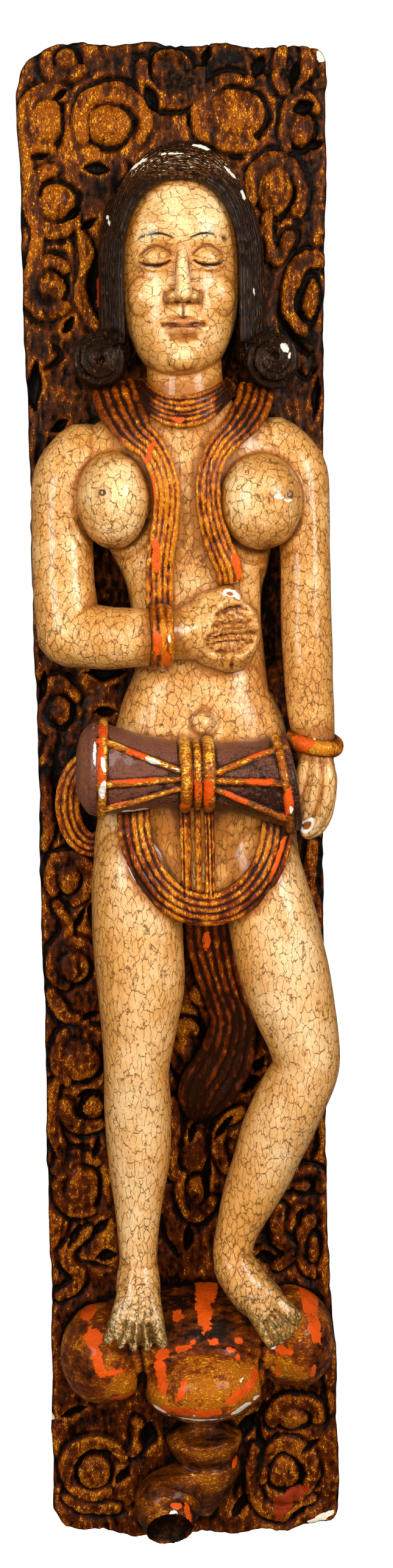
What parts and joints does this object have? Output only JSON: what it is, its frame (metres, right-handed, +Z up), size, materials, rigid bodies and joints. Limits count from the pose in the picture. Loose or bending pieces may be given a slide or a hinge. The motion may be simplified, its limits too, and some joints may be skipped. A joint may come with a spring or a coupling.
{
  "type": "carved wall panel",
  "caption": "Tall painted and gilded timber wall panel, carved in high relief with a drummer standing on a lotus against scrollwork.",
  "frame": {"origin": "middle of the flat sawn back, where the panel meets the wall", "axes": "+Z up the panel, +X to the right seen from the front, the carving faces -Y and the wall is at +Y"},
  "size_m": [0.2447, 0.1515, 1.2264],
  "materials": {
    "carved_timber": "carved timber under worn gold leaf and dark brown glaze, semi-gloss",
    "flesh_paint": "cream paint on timber, finely crackled, satin",
    "black_paint": "brown-black paint on carved locks, chipped to white gesso",
    "gilding": "gold leaf over orange bole, rubbed and glossy",
    "drum_paint": "mauve-brown paint between gilded ribs, glossy",
    "lotus_paint": "orange-red bole with worn gold leaf and dark glaze"
  },
  "bodies": {
    "root": {"carved_panel": "carved_timber"}
  },
  "joints": []
}
